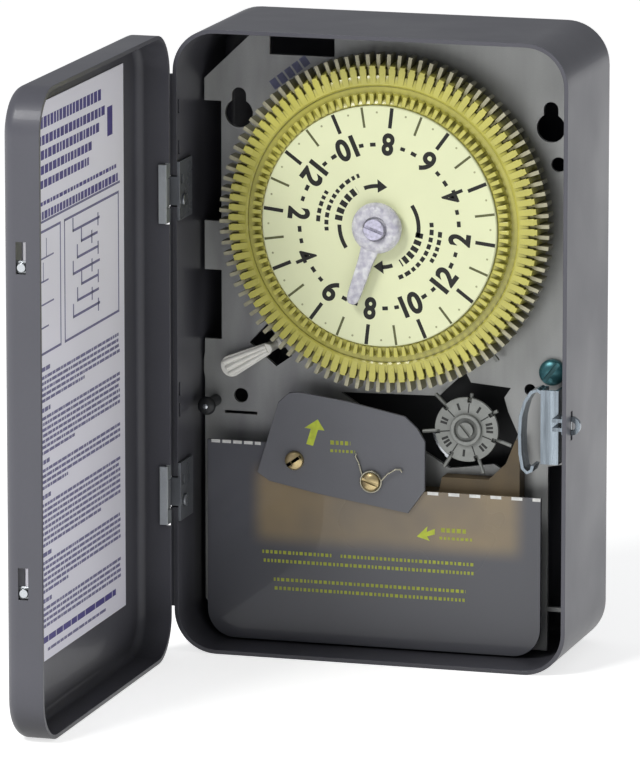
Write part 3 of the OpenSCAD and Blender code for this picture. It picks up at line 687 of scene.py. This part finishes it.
def ring_teeth(shape, inner, outer, front, back, gap, step=None, flare=0.0):
    """Blocks left standing between the parallel slots of a notched ring.

    step is the radius and the gap from which the slots are wider. flare widens the ring to the back.
    """
    pitch = 360 / STOPS
    for k in range(STOPS):
        mid = (k + 1) * pitch
        ends = []
        for grow in (0.0, flare):
            side_line = [(inner, gap)]
            if step:
                side_line += [(step[0], gap), (step[0] + 0.1, step[1])]
            side_line.append((outer + grow, step[1] if step else gap))
            corners = [(r, g, -1) for r, g in side_line]
            corners.append((outer + grow, None, 0))
            corners += [(r, g, 1) for r, g in side_line[::-1]]
            outline = []
            for r, g, side in corners:
                half = 0.0 if g is None else pitch / 2 - math.degrees(math.asin(g / 2 / r))
                a = math.radians(mid + side * half)
                outline.append((DIAL.x + r * math.cos(a), DIAL.z + r * math.sin(a)))
            ends.append(outline)
        n = len(ends[0])
        verts = [at(x, d, z) for d, outline in zip((front, back), ends) for x, z in outline]
        sides = [(i, (i + 1) % n, n + (i + 1) % n, n + i) for i in range(n)]
        shape.add(verts, [tuple(range(n)), tuple(range(2 * n - 1, n - 1, -1)), *sides])


LIP_DEPTH, FLOOR_BACK = depth_of("dial_front_ring")[0], 13.4
lip = Shape().lathe(
    DIAL,
    [(37.7, 10.3), (37.7, 10.0), (38.2, 9.9), (39.2, 10.4), (40.4, 11.5), (41.3, 12.8), (43.4, 12.9),
     (43.4, FLOOR_BACK), (36, FLOOR_BACK), (36, 10.3)],
    192,
    closed=True,
)
piece("dial_lip_ring", lip, "yellow_plastic", "dial", replaces=["dial_front_ring"])
teeth = Shape()
ring_teeth(teeth, 38.0, 41.3, LIP_DEPTH, 13.0, 1.25)
piece("dial_lip_teeth", teeth, "yellow_plastic", "dial", bevel=0.3)

crown_front, crown_back = depth_of("dial_rear_ring")[0] - 0.2, 21.0
core = Shape().lathe(
    DIAL,
    [(43.2, 13.45), (43.3, 12.5), (43.8, 12.2), (44.4, 12.4), (46.3, 12.7), (46.7, 13.0), (46.7, 13.5),
     (44.4, 13.9), (44.2, 14.5), (44.2, 20.8), (50.2, 21.0), (50.4, 21.4), (48.6, 24.2), (43.4, 24.2),
     (43.4, 22.0), (5.1, 22.0), (5.1, 20.6), (42.0, 20.6), (42.0, 13.45)],
    192,
    closed=True,
)
piece("dial_crown_core", core, "yellow_plastic", "dial", replaces=["dial_rear_ring"])
teeth = Shape()
ring_teeth(teeth, 43.6, 49.6, crown_front, crown_back + 0.1, 1.0, step=(48.6, 1.45), flare=1.2)
piece("dial_crown_teeth", teeth, "yellow_plastic", "dial", bevel=0.3)


# ---- Pointer on the arbor ----

HUB_FRONT = depth_of("time_pointer")[0]
hub = Shape().lathe(
    DIAL,
    [(r, HUB_FRONT + d) for r, d in (
        (1.8, 0.9), (3.4, 0.9), (3.9, 0.2), (4.8, 0), (6.6, 0.5), (7.7, 1.5), (8.0, 2.4), (7.8, 3.4),
        (4.5, 3.5), (4.4, 4.2), (1.8, 4.2))],
    72,
    closed=True,
)
arm_low, arm_high = (-7.0, 15.0), (DIAL.x - 1.6, DIAL.z - 5.2)
dx, dz = arm_low[0] - arm_high[0], arm_low[1] - arm_high[1]
arm_len = math.hypot(dx, dz)
ux, uz = dx / arm_len, dz / arm_len
# Distance along the arm and its half width there.
ARM_SHAPE = ((0, 3.1), (3, 2.7), (6, 2.4), (arm_len - 2, 2.1), (arm_len, 1.8), (arm_len + 1.2, 1.0))
arm = []
for along, half in ARM_SHAPE:
    arm.append((arm_high[0] + ux * along - uz * half, arm_high[1] + uz * along + ux * half))
for along, half in ARM_SHAPE[::-1]:
    arm.append((arm_high[0] + ux * along + uz * half, arm_high[1] + uz * along - ux * half))
piece("pointer_hub", hub, "clear_plastic", "case", replaces=["time_pointer"])
piece("pointer_arm", Shape().prism(arm, HUB_FRONT + 1.3, HUB_FRONT + 3.1), "clear_plastic", "case", bevel=0.5)


# ---- Day wheel ----

WHEEL_FRONT, WHEEL_BACK = 19.4, 20.6
WHEEL_R, NOTCH_R = 10.2, 8.6
NOTCH = 3.6  # half angle of a notch in degrees
DAYS = 7
FIRST_DAY = 84.0


def wheel_point(radius, angle):
    a = math.radians(angle)
    return (WHEEL.x + radius * math.cos(a), WHEEL.z + radius * math.sin(a))


outline = []
for k in range(DAYS):
    mid = FIRST_DAY + k * 360 / DAYS
    outline += [wheel_point(WHEEL_R, mid - NOTCH), wheel_point(NOTCH_R, mid - NOTCH * 1.1),
                wheel_point(NOTCH_R, mid + NOTCH * 1.1), wheel_point(WHEEL_R, mid + NOTCH)]
    outline += [wheel_point(WHEEL_R, mid + NOTCH + (360 / DAYS - 2 * NOTCH) * j / 9) for j in range(1, 9)]
wheel = Shape().prism(outline, WHEEL_FRONT, WHEEL_BACK)
piece("day_disc", wheel, "wheel_metal", "day_wheel_body", replaces=["day_wheel"], bevel=0.2)
rim_ring = Shape().lathe(WHEEL, [(3.7, 18.5), (3.9, 18.3), (4.7, 18.3), (4.9, 18.5), (4.9, WHEEL_FRONT),
                                 (3.7, WHEEL_FRONT)], 64, closed=True)
piece("day_hub_ring", rim_ring, "wheel_metal", "day_wheel_body")
marks = Shape()
for k in range(DAYS):
    mid = FIRST_DAY + (k + 0.5) * 360 / DAYS
    edge = FIRST_DAY + k * 360 / DAYS
    marks.prism(bar_outline(wheel_point(5.4, edge), wheel_point(8.4, edge), 0.35), WHEEL_FRONT - PRINT_T,
                WHEEL_FRONT)
    for j in range(k % 3 + 1):
        spot = mid + (j - (k % 3) / 2) * 9
        marks.prism(bar_outline(wheel_point(6.4, spot), wheel_point(8.6, spot), 0.75), WHEEL_FRONT - PRINT_T,
                    WHEEL_FRONT)
piece("day_marks", marks, "wheel_ink", "day_wheel_body")


# ---- Switch lever ----

tip_x, tip_z = -51.0, -11.0
bend_x, bend_z = -39.2, -4.9
lever_front = depth_of("manual_lever")[0]
reach = math.hypot(bend_x - tip_x, bend_z - tip_z)
lux, luz = (bend_x - tip_x) / reach, (bend_z - tip_z) / reach


def lever_point(along, across):
    return (tip_x + lux * along - luz * across, tip_z + luz * along + lux * across)


outline = [
    lever_point(3.3 * math.cos(math.radians(a)), 3.5 * math.sin(math.radians(a))) for a in range(90, 271, 12)
]
outline += [lever_point(reach, -1.9), lever_point(reach + 1.5, -1.0), lever_point(reach + 1.7, 0),
            lever_point(reach + 1.5, 1.0), lever_point(reach, 1.9)]
lever = Shape().prism(outline, lever_front + 0.6, lever_front + 2.8)
for across in (-2.0, 0.0, 2.0):
    ridge = [lever_point(s, across * (1 - 0.55 * max(s, 0) / reach)) for s in (-1.8, 0.5, 4, 8, reach)]
    lever.tube([at(x, lever_front + 0.9, z) for x, z in ridge], 0.85, 12)
column = Shape().lathe(
    Vector((bend_x, 0, bend_z)), [(0.001, 22.5), (1.7, 22.5), (1.7, 29.9), (0.001, 29.9)], 32
)
lever.add(column.verts, column.faces)
low, high = node_box("lever_stud")
pivot = (low + high) / 2
blade = bar_outline((bend_x, bend_z), (pivot.x - 2.6, pivot.z - 1.7), 3.2)
lever.prism(blade, 28.4, 30.0)
boss = Shape().lathe(pivot, [(1.56, 28.4), (3.5, 28.4), (3.5, 30.0), (1.56, 30.0)], 48, closed=True)
lever.add(boss.verts, boss.faces)
piece("lever_moulding", lever, "lever_plastic", "switch_lever", replaces=["manual_lever"], bevel=0.35)


# ---- Screws, studs and the wire spring ----

brass_low, brass_high = node_box("brass_screws")
PLATE_FRONT = depth_of("pointer_plate")[0]
BRASS_R = 2.7
brass_places = [Vector((brass_low.x + BRASS_R, 0, brass_high.z - BRASS_R)),
                Vector((brass_high.x - BRASS_R, 0, brass_low.z + BRASS_R))]
for k, (place, angle) in enumerate(zip(brass_places, (35, -20))):
    round_screw(f"brass_screw_{k + 1}", place, PLATE_FRONT - 2.3, 2.95, 2.3, angle, "brass",
                ["brass_screws"], (1.5, PLATE_FRONT + 6))
ground = node_centre("ground_screw")
round_screw("ground_screw_head", ground, depth_of("ground_screw")[0] - 0.4, 4.1, 3.4, 52, "green_screw",
            ["ground_screw"], (1.7, 35))
stud = node_centre("side_stud")
stud_head = Shape().lathe(
    stud, [(0.001, 14.6), (1.0, 14.65), (2.0, 14.9), (2.7, 15.4), (2.95, 16.1), (2.7, 16.6), (1.8, 16.8),
           (1.8, 26), (0.001, 26)], 48)
piece("side_stud_turned", stud_head, "dark_steel", "case", replaces=["side_stud"])
stud_cap = Shape().lathe(stud, [(0.001, 14.3), (0.5, 14.35), (0.8, 14.5), (0.9, 14.8), (0.001, 14.8)], 32)
piece("side_stud_tip", stud_cap, "bright_steel", "case")

spring_c = brass_places[1]
COIL_R, COIL_TURNS, COIL_STEPS = 3.3, 1.4, 48
WIRE_R = 0.3
coil = []
for k in range(COIL_STEPS + 1):
    a = math.radians(150 - k * 360 * COIL_TURNS / COIL_STEPS)
    x = spring_c.x + COIL_R * math.cos(a)
    z = spring_c.z + COIL_R * math.sin(a)
    coil.append(at(x, PLATE_FRONT - 0.4 - 0.7 * k / COIL_STEPS, z))
left_leg = [at(x, PLATE_FRONT - 0.6, z) for x, z in ((-7.9, -34.9), (-8.2, -35.8), (-7.2, -37.6))]
right_leg = [
    at(x, PLATE_FRONT - lift, z)
    for x, lift, z in ((2.4, 1.3, -40.6), (5.0, 1.2, -39.0), (6.4, 0.9, -39.0), (6.9, 0.7, -39.9))
]
piece("spring_wire_bent", Shape().tube(left_leg + coil + right_leg, WIRE_R, 10), "spring_wire", "case",
      replaces=["wire_spring"])


# ---- Marks on the lower covers ----

arrow = Shape()
arrow.prism([(-20.6, -24.9), (-18.4, -28.3), (-20.5, -28.2), (-22.1, -33.4), (-24.3, -32.9), (-22.8, -28.0),
             (-24.9, -27.8)], PLATE_FRONT - PRINT_T, PLATE_FRONT)
piece("plate_arrow", arrow, "lime_ink", "case")

COVER_FRONT = depth_of("insulator_cover")[0]
arrow = Shape()
arrow.prism([(11.2, -60.4), (14.6, -57.0), (14.4, -58.8), (17.0, -57.6), (17.0, -59.4), (14.5, -60.2),
             (15.4, -61.6)], COVER_FRONT - PRINT_T, COVER_FRONT)
piece("cover_arrow", arrow, "lime_ink", "case")

notices = Shape()
WORD_GAP = 0.55


def notice_line(start, end, z, height, widths, front):
    """Plain blocks that stand for a line of words."""
    x = start
    while x < end:
        right = min(x + rng.uniform(*widths), end)
        notices.prism([(x, z), (right, z), (right, z + height), (x, z + height)], front - PRINT_T, front)
        x = right + WORD_GAP


for start, end, z in ((-39.0, -16.5, -68.9), (-13.5, 29.5, -68.9), (-38.6, 29.5, -71.7), (-35.3, 27.0, -77.6),
                      (-35.0, 27.0, -80.4)):
    notice_line(start, end, z + 0.1, 1.05, (0.5, 1.1), COVER_FRONT)
notice_line(19.0, 27.0, -58.6, 1.4, (0.9, 1.4), COVER_FRONT)
notice_line(18.5, 29.0, -60.9, 0.9, (0.7, 1.1), COVER_FRONT)
notice_line(-16.5, -10.0, -32.6, 1.3, (0.9, 1.3), PLATE_FRONT)
notice_line(-16.5, -8.5, -35.0, 0.9, (0.6, 1.0), PLATE_FRONT)
piece("cover_notices", notices, "faded_lime_ink", "case")

dashes = Shape()
for start, end, z, pitch, length in ((-55.6, -39.5, -33.9, 3.55, 2.8), (14.6, 50.9, -46.5, 6.75, 3.5)):
    x = start
    while x + length * 0.5 < end:
        right = min(x + length, end)
        dashes.prism([(x, z - 0.5), (right, z - 0.5), (right, z + 0.5), (x, z + 0.5)],
                     COVER_FRONT - PRINT_T, COVER_FRONT)
        x += pitch
piece("cover_dashes", dashes, "white_ink", "case")


# ---- Door label ----

label_low, label_high = node_box("door_label")
LABEL_X = label_high.x


def on_label(shape, across, up, width, height):
    """A printed block: across is measured from the free edge of the door, up from the label's foot."""
    y0 = label_low.y + across
    z0 = label_low.z + up
    shape.box((LABEL_X, LABEL_X + PRINT_T), (y0, y0 + width), (z0, z0 + height))


label_w = label_high.y - label_low.y
label_h = label_high.z - label_low.z
card = Shape().box(*zip(label_low, label_high))
piece("label_card_sheet", card, "label_card", "door", replaces=["door_label"], bevel=0.08)


def greeked_line(shape, up, start, end, height, words, space=0.55):
    """A line of plain blocks that stand for words or letters."""
    x = start
    while x < end - 1:
        width = min(rng.uniform(*words), end - x)
        on_label(shape, x, up, width, height)
        x += width + space


bold, small = Shape(), Shape()
up = label_h - 8
for height, gap, start, end in ((3.4, 5.0, 8, 74), (2.8, 4.4, 5, 78), (2.8, 4.4, 5, 72), (2.6, 4.2, 8, 66),
                                (2.4, 4.2, 10, 62)):
    greeked_line(bold, up, start, end, height, (1.6, 3.4), 0.8)
    up -= gap
on_label(bold, 80, up + 10, 5, 9)
for height, start, end in ((1.2, 6, 90), (2.4, 5, 90)):
    greeked_line(bold, up - 1, start, end, height, (1.4, 3.2), 0.8)
    up -= 4.2
up += 2.2
on_label(small, 4, up, label_w - 8, 0.7)
box_top, box_low = up - 3, up - 40
for left, right in ((5, 34), (38, 90)):
    for z in (box_low, box_top):
        on_label(small, left, z, right - left, 0.75)
    for x in (left, right):
        on_label(small, x, box_low, 0.8, box_top - box_low + 0.75)
for k in range(7):
    z = box_low + 6 + k * 4.4
    on_label(small, 46 + (k % 3) * 4, z, 26 - (k % 3) * 5, 0.8)
    on_label(small, 46 + (k % 3) * 4, z, 0.9, 4.4)
    on_label(small, 70 - (k % 2) * 6, z - 2, 0.9, 4.0)
for k in range(4):
    z = box_low + 8 + k * 7
    on_label(small, 11, z, 12 + (k % 2) * 5, 0.5)
    on_label(small, 12 + k * 3, z, 0.5, 6.0)
up = box_low - 5
paragraph = [5, 7, 4, 8, 6, 7, 5, 6]
for count in paragraph:
    greeked_line(small, up, 5, 24, 1.3, (2, 4))
    up -= 2.35
    for k in range(count):
        greeked_line(small, up, 7, 91 if k < count - 1 else rng.uniform(30, 80), 0.95, (1.2, 5.0))
        up -= 1.75
        if up < 10:
            break
    up -= 1.3
    if up < 10:
        break
greeked_line(bold, 5.5, 10, 86, 1.9, (5, 12))
greeked_line(small, 2.6, 20, 76, 0.9, (2, 6))
piece("label_bold_print", bold, "dark_violet_ink", "door")
piece("label_small_print", small, "violet_ink", "door")


# ---- Stage, light and camera ----

floor_mesh = bpy.data.meshes.new("floor")
FLOOR_HALF = 6.0  # metres
floor_mesh.from_pydata(
    [(x * FLOOR_HALF, y * FLOOR_HALF, cad_low.z) for x, y in ((-1, -1), (1, -1), (1, 1), (-1, 1))],
    [],
    [(0, 1, 2, 3)],
)
floor = bpy.data.objects.new("floor", floor_mesh)
bpy.context.scene.collection.objects.link(floor)
pale = surface("floor", "f4f4f2", rough=0.7, tone=0.01, blotch=4, grain=200, bump=0.0)
pale_shader = pale.node_tree.nodes["Principled BSDF"]
pale_shader.inputs["Emission Color"].default_value = (1, 1, 1, 1)
pale_shader.inputs["Emission Strength"].default_value = 0.68
floor_mesh.materials.append(pale)

world = bpy.data.worlds.new("studio")
bpy.context.scene.world = world
world.use_nodes = True
sky = world.node_tree.nodes["Background"]
sky.inputs["Color"].default_value = (0.95, 0.97, 1.0, 1.0)
sky.inputs["Strength"].default_value = 0.3


def area_light(name, place, target, size, power):
    light = bpy.data.lights.new(name, "AREA")
    light.shape = "RECTANGLE"
    light.size, light.size_y = size
    light.energy = power
    obj = bpy.data.objects.new(name, light)
    bpy.context.scene.collection.objects.link(obj)
    obj.location = place
    obj.rotation_euler = (Vector(target) - Vector(place)).to_track_quat("-Z", "Y").to_euler()


area_light("key", (-0.6, -1.1, 1.1), (0, 0, 0), (0.55, 0.55), 16)

camera_data = bpy.data.cameras.new("camera")
camera = bpy.data.objects.new("camera", camera_data)
bpy.context.scene.collection.objects.link(camera)
bpy.context.scene.camera = camera
camera_data.sensor_width = 36.0
camera_data.lens = 366.66
camera_data.clip_end = 50.0
camera.location = (0.6509, -2.2939, 0.45665)
camera.rotation_euler = (math.radians(90 - 11.27), 0, math.radians(16.57))
bpy.context.scene.view_settings.view_transform = "Standard"
